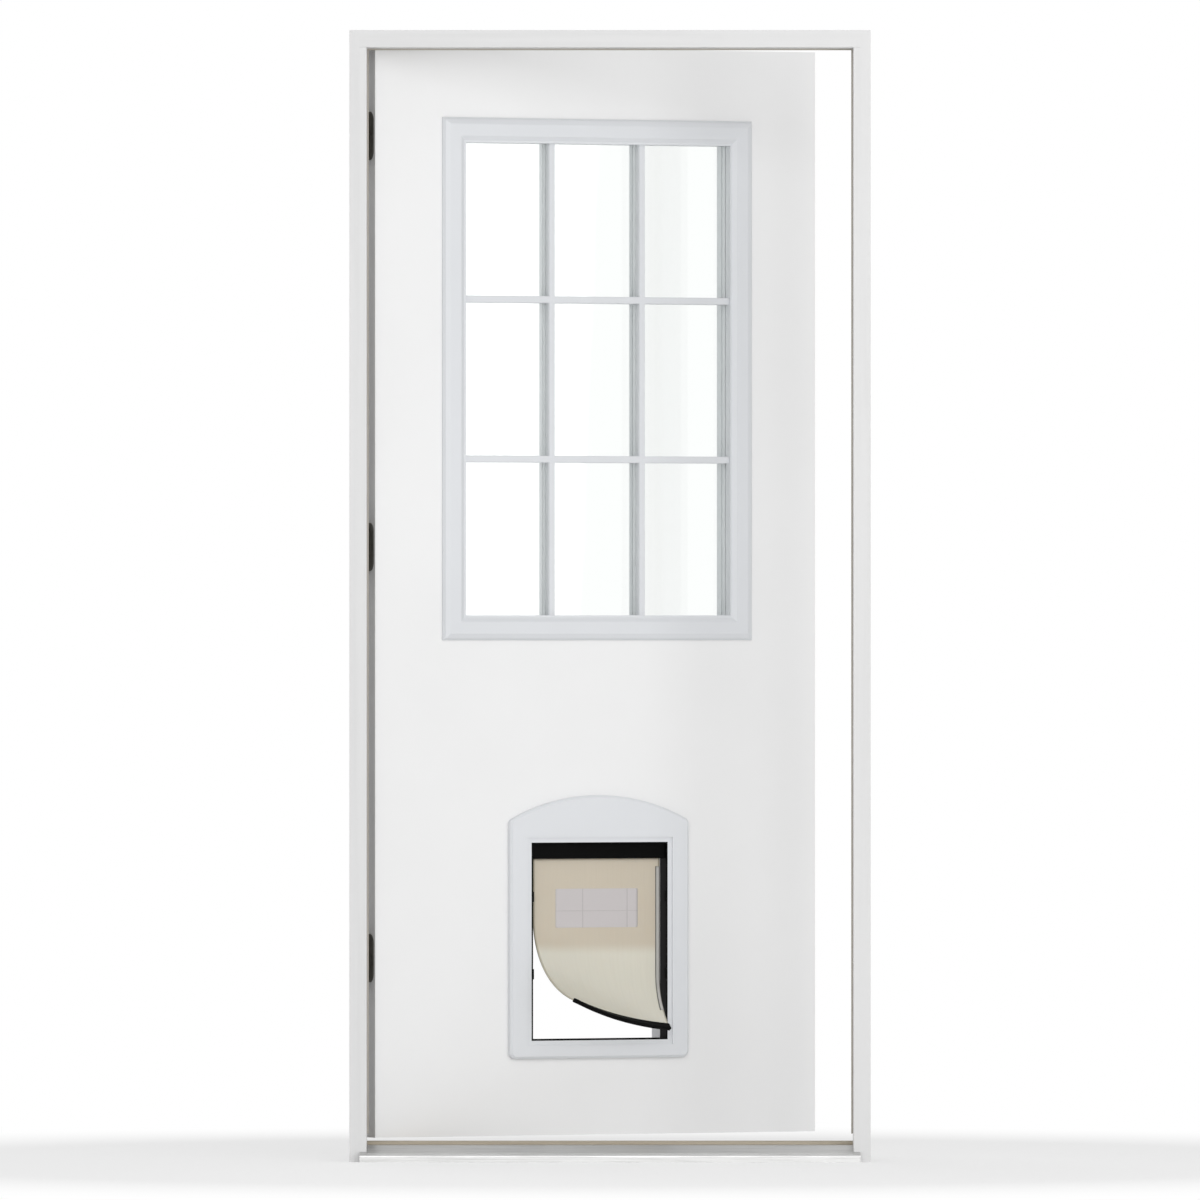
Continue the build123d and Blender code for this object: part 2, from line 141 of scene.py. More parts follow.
def tube_faces(stations: int, loop: int) -> list[list[int]]:
    """Faces of a closed profile carried along a path, with both ends capped.

    Args:
        stations: number of profiles along the path.
        loop: number of points in a profile.

    Returns:
        Lists of point numbers.
    """
    sides = grid_quads(stations, loop, wrap=True).tolist()
    first_end = list(range(loop))[::-1]
    last_point = (stations - 1) * loop
    return sides + [first_end, list(range(last_point, last_point + loop))]


def round_rectangle(width: float, height: float, radius: float, steps: int = 6) -> np.ndarray:
    """Points of a rectangle with quarter-round corners, centred, going once round.

    One quarter circle is turned by each of the four right angles and moved to its corner.

    Args:
        width: size along the first axis.
        height: size along the second axis.
        radius: corner radius.
        steps: points on each corner.

    Returns:
        Array of points, two numbers each.
    """
    angle = np.linspace(0, math.pi / 2, steps)
    arc = np.stack([np.cos(angle), np.sin(angle)], axis=-1) * radius
    quarter = np.arange(4) * math.pi / 2
    spin = np.stack([np.cos(quarter), np.sin(quarter)], axis=-1)
    turned_x = arc[None, :, 0] * spin[:, None, 0] - arc[None, :, 1] * spin[:, None, 1]
    turned_y = arc[None, :, 0] * spin[:, None, 1] + arc[None, :, 1] * spin[:, None, 0]
    side_x = np.array([1, -1, -1, 1])[:, None] * (width / 2 - radius)
    side_y = np.array([1, 1, -1, -1])[:, None] * (height / 2 - radius)
    return np.stack([turned_x + side_x, turned_y + side_y], axis=-1).reshape(-1, 2)


def make_piece(
    name: str, points: np.ndarray, faces: list[list[int]], uv: np.ndarray | None = None
) -> bpy.types.Object:
    """Make a smooth shaded mesh object of points and faces, at the origin of the frame.

    Args:
        name: name of the piece.
        points: array of points, three numbers each.
        faces: lists of point numbers.
        uv: two numbers a point, or None for no UV map.

    Returns:
        The new object.
    """
    mesh = bpy.data.meshes.new(name)
    mesh.from_pydata(points.reshape(-1, 3).tolist(), [], faces)
    if uv is not None:
        layer = mesh.uv_layers.new(name="UVMap")
        corner = np.zeros(len(mesh.loops), np.int32)
        mesh.loops.foreach_get("vertex_index", corner)
        layer.data.foreach_set("uv", uv.reshape(-1, 2)[corner].astype(np.float32).ravel())
    mesh.polygons.foreach_set("use_smooth", np.ones(len(mesh.polygons), bool))
    mesh.update()
    piece = bpy.data.objects.new(name, mesh)
    bpy.context.scene.collection.objects.link(piece)
    return piece


def close_up(piece: bpy.types.Object, crisp_degrees: float) -> None:
    """Merge doubled points of a closed piece, point its faces outwards and keep its edges crisp.

    Args:
        piece: the closed piece.
        crisp_degrees: edges sharper than this stay crisp under smooth shading.
    """
    work = bmesh.new()
    work.from_mesh(piece.data)
    bmesh.ops.remove_doubles(work, verts=work.verts, dist=MERGE_DISTANCE)
    bmesh.ops.recalc_face_normals(work, faces=work.faces)
    work.to_mesh(piece.data)
    work.free()
    piece.data.set_sharp_from_angle(angle=math.radians(crisp_degrees))


def thicken(piece: bpy.types.Object, thickness: float, even: bool = False) -> None:
    """Give an open sheet its thickness, half on each side.

    Args:
        piece: the sheet.
        thickness: full thickness, metres.
        even: keep the thickness even round bends.
    """
    solid = piece.modifiers.new("thickness", "SOLIDIFY")
    solid.thickness = thickness
    solid.offset = 0.0
    solid.use_even_offset = even


class Nodes:
    """Short way to add and link nodes in one node tree."""

    def __init__(self, tree: bpy.types.NodeTree) -> None:
        """Keep the tree that nodes are added to."""
        self.tree = tree

    def add(self, kind: str, **settings: object) -> bpy.types.Node:
        """Add a node and set its properties.

        Args:
            kind: type of node.
            settings: property names and values.

        Returns:
            The new node.
        """
        node = self.tree.nodes.new(kind)
        for name, value in settings.items():
            setattr(node, name, value)
        return node

    def link(self, source: Socket, target: Socket) -> None:
        """Link two sockets."""
        self.tree.links.new(source, target)

    def feed(self, value: Socket | float, target: Socket) -> None:
        """Link a socket to a target, or set the target to a number.

        Args:
            value: socket or number.
            target: input that takes it.
        """
        if isinstance(value, (int, float)):
            target.default_value = value
        else:
            self.link(value, target)

    def math(self, operation: str, first: Socket | float, second: Socket | float = 0.0) -> Socket:
        """Add a Math node.

        Args:
            operation: what it does.
            first: first socket or number.
            second: second socket or number.

        Returns:
            The node's output.
        """
        node = self.add("ShaderNodeMath", operation=operation)
        self.feed(first, node.inputs[0])
        self.feed(second, node.inputs[1])
        return node.outputs[0]

    def ramp(self, value: Socket, low: float, high: float) -> Socket:
        """Map a value smoothly from 0 at one end to 1 at the other.

        Args:
            value: socket to map.
            low: value that gives 0.
            high: value that gives 1.

        Returns:
            The mapped value.
        """
        node = self.add("ShaderNodeMapRange", interpolation_type="SMOOTHSTEP")
        node.inputs["From Min"].default_value = low
        node.inputs["From Max"].default_value = high
        self.link(value, node.inputs["Value"])
        return node.outputs["Result"]

    def spread(self, value: Socket, low: Socket | float, high: Socket | float) -> Socket:
        """Spread a value between 0 and 1 evenly over a range.

        Args:
            value: socket to spread.
            low: result at 0.
            high: result at 1.

        Returns:
            The spread value.
        """
        node = self.add("ShaderNodeMapRange")
        self.link(value, node.inputs["Value"])
        self.feed(low, node.inputs["To Min"])
        self.feed(high, node.inputs["To Max"])
        return node.outputs["Result"]

    def mix(self, factor: Socket, first: Socket | Triple, second: Socket | Triple) -> Socket:
        """Mix two colours.

        Args:
            factor: share of the second colour.
            first: socket or three numbers.
            second: socket or three numbers.

        Returns:
            The mixed colour.
        """
        node = self.add("ShaderNodeMix", data_type="RGBA")
        self.link(factor, node.inputs["Factor"])
        for place, value in zip(MIX_COLOUR_INPUTS, (first, second)):
            if isinstance(value, tuple):
                node.inputs[place].default_value = (*value, 1.0)
            else:
                self.link(value, node.inputs[place])
        return node.outputs[MIX_COLOUR_OUTPUT]

    def noise(
        self, vector: Socket, scale: Socket | float, detail: float = 2.0, roughness: float = 0.5
    ) -> Socket:
        """Add a noise texture.

        Args:
            vector: place that the noise is read at.
            scale: socket or number.
            detail: number of finer layers.
            roughness: strength of the finer layers.

        Returns:
            The noise's value.
        """
        node = self.add("ShaderNodeTexNoise")
        self.link(vector, node.inputs["Vector"])
        self.feed(scale, node.inputs["Scale"])
        node.inputs["Detail"].default_value = detail
        node.inputs["Roughness"].default_value = roughness
        return node.outputs["Fac"]

    def mapping(self, vector: Socket, stretch: Triple, turn: float = 0.0) -> Socket:
        """Stretch a place and turn it about the upright axis.

        Args:
            vector: the place.
            stretch: scale on each axis.
            turn: angle in radians.

        Returns:
            The mapped place.
        """
        node = self.add("ShaderNodeMapping")
        node.inputs["Scale"].default_value = stretch
        node.inputs["Rotation"].default_value = (0.0, 0.0, turn)
        self.link(vector, node.inputs["Vector"])
        return node.outputs["Vector"]

    def bump(self, height: Socket, distance: float) -> Socket:
        """Turn a height into a normal.

        Args:
            height: value between 0 and 1.
            distance: real height of 1, metres.

        Returns:
            The normal.
        """
        node = self.add("ShaderNodeBump")
        node.inputs["Distance"].default_value = distance
        self.link(height, node.inputs["Height"])
        return node.outputs["Normal"]

    def object_place(self) -> Socket:
        """Place on the piece in its own coordinates."""
        return self.add("ShaderNodeTexCoord").outputs["Object"]

    def sheet_place(self) -> tuple[Socket, bpy.types.Node]:
        """Place on a sheet in its own UV map.

        Returns:
            The UV socket, and a node that splits it into X and Y.
        """
        place = self.add("ShaderNodeUVMap", uv_map="UVMap").outputs["UV"]
        split = self.add("ShaderNodeSeparateXYZ")
        self.link(place, split.inputs["Vector"])
        return place, split

    def seen_ray(self) -> Socket:
        """Value that is 1 for rays from the camera, and for mirrored and transmitted ones.

        Returns:
            The value's socket.
        """
        path = self.add("ShaderNodeLightPath")
        direct = self.math("MAXIMUM", path.outputs["Is Camera Ray"], path.outputs["Is Glossy Ray"])
        return self.math("MAXIMUM", direct, path.outputs["Is Transmission Ray"])

    def mix_shaders(self, factor: Socket, first: Socket, second: Socket) -> Socket:
        """Mix two shaders.

        Args:
            factor: share of the second.
            first: first shader.
            second: second shader.

        Returns:
            The mixed shader.
        """
        node = self.add("ShaderNodeMixShader")
        self.link(factor, node.inputs["Fac"])
        self.link(first, node.inputs[1])
        self.link(second, node.inputs[2])
        return node.outputs["Shader"]


def new_material(name: str) -> tuple[bpy.types.Material, Nodes, bpy.types.Node]:
    """Start a material.

    Args:
        name: name of the material.

    Returns:
        The material, its node helper and its main shader.
    """
    material = bpy.data.materials.new(name)
    material.use_nodes = True
    return material, Nodes(material.node_tree), material.node_tree.nodes["Principled BSDF"]


GROUP_INPUTS = (
    ("Vector", "NodeSocketVector"),
    ("Colour", "NodeSocketColor"),
    ("Second Colour", "NodeSocketColor"),
    ("Scale", "NodeSocketFloat"),
    ("Gloss Low", "NodeSocketFloat"),
    ("Gloss High", "NodeSocketFloat"),
)
GROUP_OUTPUTS = (
    ("Colour", "NodeSocketColor"),
    ("Roughness", "NodeSocketFloat"),
    ("Height", "NodeSocketFloat"),
)


def new_group(name: str) -> tuple[Nodes, bpy.types.Node, bpy.types.Node]:
    """Start a shader node group with the sockets that all the finishes share.

    Args:
        name: group name.

    Returns:
        The group's node helper, its input node and its output node.
    """
    tree = bpy.data.node_groups.new(name, "ShaderNodeTree")
    for label, kind in GROUP_INPUTS:
        tree.interface.new_socket(name=label, in_out="INPUT", socket_type=kind)
    for label, kind in GROUP_OUTPUTS:
        tree.interface.new_socket(name=label, in_out="OUTPUT", socket_type=kind)
    nodes = Nodes(tree)
    return nodes, nodes.add("NodeGroupInput"), nodes.add("NodeGroupOutput")


def end_group(
    nodes: Nodes, given: bpy.types.Node, result: bpy.types.Node, tone: Socket, height: Socket
) -> None:
    """Put out a group's colour, gloss and height.

    Args:
        nodes: the group's node helper.
        given: its input node.
        result: its output node.
        tone: share of the second colour.
        height: value that makes the gloss and the height.
    """
    colour = nodes.mix(tone, given.outputs["Colour"], given.outputs["Second Colour"])
    gloss = nodes.spread(height, given.outputs["Gloss Low"], given.outputs["Gloss High"])
    nodes.link(colour, result.inputs["Colour"])
    nodes.link(gloss, result.inputs["Roughness"])
    nodes.link(height, result.inputs["Height"])


@dataclass(frozen=True)
class PaintFilm:
    """Sprayed or moulded film: slow tone drift, fine peel in the surface and a matching gloss change."""

    drift_scale: float = 2.2
    drift_detail: float = 3.0
    peel_detail: float = 2.0
    tone_from: float = 0.25
    tone_to: float = 0.8

    def build(self) -> None:
        """Build the group that film finishes share."""
        nodes, given, result = new_group(Pattern.FILM.value)
        place = given.outputs["Vector"]
        drift = nodes.noise(place, self.drift_scale, self.drift_detail)
        peel = nodes.noise(place, given.outputs["Scale"], self.peel_detail)
        end_group(nodes, given, result, nodes.ramp(drift, self.tone_from, self.tone_to), peel)


@dataclass(frozen=True)
class RunGrain:
    """Grain, brushing or extrusion lines: noise drawn out along one direction of its place."""

    detail: float = 5.0
    roughness: float = 0.62
    line_from: float = 0.42
    line_to: float = 0.72

    def build(self) -> None:
        """Build the group that grained and brushed finishes share."""
        nodes, given, result = new_group(Pattern.GRAIN.value)
        lines = nodes.noise(given.outputs["Vector"], given.outputs["Scale"], self.detail, self.roughness)
        end_group(nodes, given, result, nodes.ramp(lines, self.line_from, self.line_to), lines)


@dataclass(frozen=True)
class Finish:
    """One surface finish: a pattern that varies it and the plain values of its shader."""

    name: str
    pattern: Pattern
    colour: Triple
    second: Triple
    scale: float
    gloss: Pair
    bump_mm: float
    metallic: float = 0.0
    stretch: Triple = (1.0, 1.0, 1.0)
    on_slab: bool = False
    specular: float = 0.5

    def material(self, space: SlabSpace) -> bpy.types.Material:
        """Build the material.

        Args:
            space: directions of the slab, for grain that follows it.

        Returns:
            The new material.
        """
        material, nodes, shader = new_material(self.name)
        turn = -space.turn if self.on_slab else 0.0
        group = nodes.add("ShaderNodeGroup", node_tree=bpy.data.node_groups[self.pattern.value])
        nodes.link(nodes.mapping(nodes.object_place(), self.stretch, turn), group.inputs["Vector"])
        group.inputs["Colour"].default_value = (*self.colour, 1.0)
        group.inputs["Second Colour"].default_value = (*self.second, 1.0)
        group.inputs["Scale"].default_value = self.scale
        group.inputs["Gloss Low"].default_value = self.gloss[0]
        group.inputs["Gloss High"].default_value = self.gloss[1]
        normal = nodes.bump(group.outputs["Height"], self.bump_mm * METRES_PER_MM)
        nodes.link(normal, shader.inputs["Normal"])
        nodes.link(group.outputs["Colour"], shader.inputs["Base Color"])
        nodes.link(group.outputs["Roughness"], shader.inputs["Roughness"])
        shader.inputs["Metallic"].default_value = self.metallic
        shader.inputs["Specular IOR Level"].default_value = self.specular
        return material


def white(level: float, blue: float = 0.0) -> Triple:
    """Mix a near-white colour, a little bluer if asked: its level plus a share of the blue cast.

    Args:
        level: linear brightness.
        blue: strength of the blue cast.

    Returns:
        The colour.
    """
    return tuple(level + blue * share for share in BLUE_CAST)


ALONG_X = (0.03, 1.0, 1.0)
ALONG_Z = (1.0, 1.0, 0.03)
FINISHES = {
    "door_paint": Finish(
        "satin_skin_paint", Pattern.FILM, colour=white(0.84), second=white(0.81),
        scale=320, gloss=(0.36, 0.5), bump_mm=0.06),
    "edge_paint": Finish(
        "edge_paint", Pattern.GRAIN, colour=white(0.82), second=white(0.77),
        scale=40, gloss=(0.45, 0.6), bump_mm=0.06, stretch=(1.0, 1.0, 0.05), on_slab=True),
    "jamb_paint": Finish(
        "jamb_paint", Pattern.GRAIN, colour=white(0.70), second=white(0.675),
        scale=55, gloss=(0.42, 0.55), bump_mm=0.05, stretch=ALONG_Z),
    "head_paint": Finish(
        "head_paint", Pattern.GRAIN, colour=white(0.70), second=white(0.675),
        scale=55, gloss=(0.42, 0.55), bump_mm=0.05, stretch=ALONG_X),
    "window_plastic": Finish(
        "window_moulding", Pattern.FILM, colour=white(0.72, blue=0.025), second=white(0.69, blue=0.025),
        scale=900, gloss=(0.3, 0.42), bump_mm=0.03),
    "pet_plastic": Finish(
        "pet_moulding", Pattern.FILM, colour=white(0.74, blue=0.025), second=white(0.71, blue=0.025),
        scale=1400, gloss=(0.34, 0.5), bump_mm=0.05),
    "black_plastic": Finish(
        "black_moulding", Pattern.FILM, colour=(0.002, 0.002, 0.002), second=(0.004, 0.004, 0.004),
        scale=1600, gloss=(0.45, 0.6), bump_mm=0.04, specular=0.04),
    "sill_metal": Finish(
        "mill_aluminium", Pattern.GRAIN, colour=(0.56, 0.56, 0.555), second=(0.46, 0.46, 0.455),
        scale=420, gloss=(0.32, 0.5), bump_mm=0.02, metallic=1.0, stretch=(0.02, 1.0, 1.0)),
    "sill_cap": Finish(
        "cap_composite", Pattern.GRAIN, colour=(0.40, 0.35, 0.27), second=(0.34, 0.29, 0.22),
        scale=160, gloss=(0.5, 0.65), bump_mm=0.06, stretch=ALONG_X),
    "weatherstrip": Finish(
        "strip_film", Pattern.FILM, colour=(0.44, 0.41, 0.36), second=(0.39, 0.36, 0.31),
        scale=500, gloss=(0.55, 0.75), bump_mm=0.08),
    "hinge_metal": Finish(
        "pewter_hinge", Pattern.GRAIN, colour=(0.27, 0.264, 0.24), second=(0.16, 0.156, 0.142),
        scale=260, gloss=(0.32, 0.48), bump_mm=0.012, metallic=0.55, stretch=(1.0, 1.0, 0.4)),
    "foam": Finish(
        "core_foam", Pattern.FILM, colour=(0.74, 0.66, 0.42), second=(0.66, 0.58, 0.36),
        scale=700, gloss=(0.8, 0.95), bump_mm=0.3),
    "spacer_metal": Finish(
        "spacer_paint", Pattern.GRAIN, colour=white(0.76, blue=0.02), second=white(0.72, blue=0.02),
        scale=600, gloss=(0.35, 0.5), bump_mm=0.01, stretch=(1.0, 1.0, 0.05), on_slab=True),
    "screw_metal": Finish(
        "screw_metal", Pattern.FILM, colour=(0.30, 0.295, 0.28), second=(0.22, 0.215, 0.205),
        scale=2500, gloss=(0.22, 0.36), bump_mm=0.01, metallic=1.0),
}
SLOT_OF_NODE = {row["node"]: row["material_slot"] for row in frame["record"]["subparts"]}


@dataclass(frozen=True)
class ClearGlass:
    """Clear window glass with a faint film that breaks up its gloss, and that lets lamp light through."""

    tint: Triple = (0.99, 1.0, 0.995)
    light_tint: Triple = (0.96, 0.975, 0.97)
    index: float = 1.45
    film_scale: float = 6.0
    most_roughness: float = 0.03

    def material(self) -> bpy.types.Material:
        """Build the material.

        Returns:
            The new material.
        """
        material, nodes, shader = new_material("window_glass")
        shader.inputs["Base Color"].default_value = (*self.tint, 1.0)
        shader.inputs["Transmission Weight"].default_value = 1.0
        shader.inputs["IOR"].default_value = self.index
        film = nodes.noise(nodes.object_place(), self.film_scale)
        nodes.link(nodes.spread(film, 0.0, self.most_roughness), shader.inputs["Roughness"])
        clear = nodes.add("ShaderNodeBsdfTransparent")
        clear.inputs["Color"].default_value = (*self.light_tint, 1.0)
        path = nodes.add("ShaderNodeLightPath")
        light_ray = nodes.math("MAXIMUM", path.outputs["Is Shadow Ray"], path.outputs["Is Diffuse Ray"])
        mixed = nodes.mix_shaders(light_ray, shader.outputs["BSDF"], clear.outputs["BSDF"])
        nodes.link(mixed, material.node_tree.nodes["Material Output"].inputs["Surface"])
        return material


@dataclass(frozen=True)
class TanVinyl:
    """Tan vinyl with painted shade in its upper part and painted light in its lower part, standing for what shows
    through the sheet, the two blending softly half-way down; with faint extrusion lines and a darker rim at the
    cut edge, which is painted shade of its bevel.
    """

    # The upper colour is painted shade and the lower colour is painted light, standing for what shows through the
    # sheet; they blend between the two fade marks.
    upper: Triple = (0.56, 0.50, 0.40)
    lower: Triple = (0.66, 0.64, 0.55)
    seen_shade_fade_from: float = 0.47
    seen_shade_fade_to: float = 0.55
    line: Triple = (0.42, 0.37, 0.29)
    line_stretch: Triple = (1.0, 0.08, 1.0)
    line_scale: float = 46.0
    line_detail: float = 4.0
    line_from: float = 0.35
    line_to: float = 0.8
    line_share: float = 0.06
    # The rim colour is painted shade of the cut bevel edge, laid along both sides of the sheet.
    rim: Triple = (0.30, 0.27, 0.18)
    rim_from: float = 0.006
    rim_to: float = 0.016
    rim_shade_share: float = 0.55
    bump: float = 0.0002
    roughness: float = 0.34
    glow_share: float = 0.15
    glow_reach: Triple = (0.004, 0.003, 0.002)

    def material(self) -> bpy.types.Material:
        """Build the material: its painted shade and light change down the sheet, its lines run along it, and its
        rim of painted bevel shade lies by the sides.

        Returns:
            The new material.
        """
        material, nodes, shader = new_material("flap_vinyl")
        place, split = nodes.sheet_place()
        # Painted shade above and painted light below, blended down the sheet.
        body = nodes.mix(nodes.ramp(split.outputs["Y"], self.seen_shade_fade_from, self.seen_shade_fade_to), self.upper, self.lower)
        lines = nodes.noise(nodes.mapping(place, self.line_stretch), self.line_scale, self.line_detail)
        faint = nodes.math("MULTIPLY", nodes.ramp(lines, self.line_from, self.line_to), self.line_share)
        lined = nodes.mix(faint, body, self.line)
        # Painted shade of the cut bevel: darker near both sides of the sheet.
        from_right = nodes.math("SUBTRACT", 1.0, split.outputs["X"])
        to_edge = nodes.math("MINIMUM", split.outputs["X"], from_right)
        rim = nodes.math("SUBTRACT", 1.0, nodes.ramp(to_edge, self.rim_from, self.rim_to))
        rim = nodes.math("MULTIPLY", rim, self.rim_shade_share)
        nodes.link(nodes.mix(rim, lined, self.rim), shader.inputs["Base Color"])
        nodes.link(nodes.bump(lines, self.bump), shader.inputs["Normal"])
        shader.inputs["Roughness"].default_value = self.roughness
        shader.inputs["Subsurface Weight"].default_value = self.glow_share
        shader.inputs["Subsurface Radius"].default_value = self.glow_reach
        shader.inputs["Subsurface Scale"].default_value = 1.0
        return material


@dataclass(frozen=True)
class LabelPaper:
    """Pale lavender-grey label stock with three faint creases, darkened with painted shade."""

    stock: Triple = (0.52, 0.49, 0.49)
    fibre: Triple = (0.56, 0.53, 0.53)
    fibre_scale: float = 60.0
    # The crease colour is the painted shade in the creases.
    crease: Triple = (0.36, 0.34, 0.34)
    creases: tuple[tuple[str, float], ...] = (("X", 0.33), ("X", 0.87), ("Y", 0.57))
    crease_core: float = 0.002
    crease_edge: float = 0.008
    crease_shade_share: float = 0.5
    bump: float = 0.0002
    roughness: float = 0.45

    def material(self) -> bpy.types.Material:
        """Build the material; a crease is where the place is near to one of the crease lines, and there painted
        shade darkens the stock.

        Returns:
            The new material.
        """
        material, nodes, shader = new_material("label_paper")
        place, split = nodes.sheet_place()
        fold = 0.0
        for axis, centre in self.creases:
            away = nodes.math("ABSOLUTE", nodes.math("SUBTRACT", split.outputs[axis], centre))
            line = nodes.math("SUBTRACT", 1.0, nodes.ramp(away, self.crease_core, self.crease_edge))
            fold = nodes.math("MAXIMUM", fold, line)
        stock = nodes.mix(nodes.noise(place, self.fibre_scale), self.stock, self.fibre)
        # Painted shade: the stock darkens towards the crease colour along the crease lines.
        faint = nodes.math("MULTIPLY", fold, self.crease_shade_share)
        nodes.link(nodes.mix(faint, stock, self.crease), shader.inputs["Base Color"])
        nodes.link(nodes.bump(fold, self.bump), shader.inputs["Normal"])
        shader.inputs["Roughness"].default_value = self.roughness
        return material


@dataclass(frozen=True)
class StripFilm:
    """Grey clear film of the edge strip, with streaks of painted highlight and dark edges of painted shade."""

    # The pale streak colour is painted highlight; the dark edge colour is painted shade along both sides.
    dull: Triple = (0.36, 0.355, 0.335)
    painted_highlight: Triple = (0.56, 0.55, 0.52)
    edge: Triple = (0.13, 0.125, 0.11)
    streak_scale: float = 30.0
    edge_shade_from: float = 0.22
    edge_shade_to: float = 0.40
    roughness: float = 0.28

    def material(self) -> bpy.types.Material:
        """Build the material; its painted edge shade darkens with the distance from the strip's middle.

        Returns:
            The new material.
        """
        material, nodes, shader = new_material("edge_strip_film")
        place, split = nodes.sheet_place()
        # Painted highlight: noise streaks the grey film towards a pale sheen.
        film = nodes.mix(nodes.noise(place, self.streak_scale), self.dull, self.painted_highlight)
        away = nodes.math("ABSOLUTE", nodes.math("SUBTRACT", split.outputs["X"], 0.5))
        # Painted shade: darker towards both sides of the strip.
        edge = nodes.ramp(away, self.edge_shade_from, self.edge_shade_to)
        nodes.link(nodes.mix(edge, film, self.edge), shader.inputs["Base Color"])
        shader.inputs["Roughness"].default_value = self.roughness
        return material


class Dresser:
    """Gives every CAD node and every new piece its finish."""

    def __init__(self, space: SlabSpace) -> None:
        """Build the shared groups and all the finishes.

        Args:
            space: directions of the slab.
        """
        PaintFilm().build()
        RunGrain().build()
        self.materials = {slot: finish.material(space) for slot, finish in FINISHES.items()}
        self.materials["window_glass"] = ClearGlass().material()
        self.materials["flap_vinyl"] = TanVinyl().material()
        self.materials["label_paper"] = LabelPaper().material()
        self.materials["strip_film"] = StripFilm().material()

    def dress(self, piece: bpy.types.Object, finish: str) -> None:
        """Put one finish on all of a piece.

        Args:
            piece: the piece.
            finish: name of the finish.
        """
        piece.data.materials.clear()
        piece.data.materials.append(self.materials[finish])
        LOG.info("%s dressed with %s", piece.name, finish)

    def dress_frame(self) -> None:
        """Dress the CAD nodes by their material slots; the head's grain runs across."""
        for name, piece in frame["nodes"].items():
            self.dress(piece, "head_paint" if name == "head_jamb" else SLOT_OF_NODE[name])


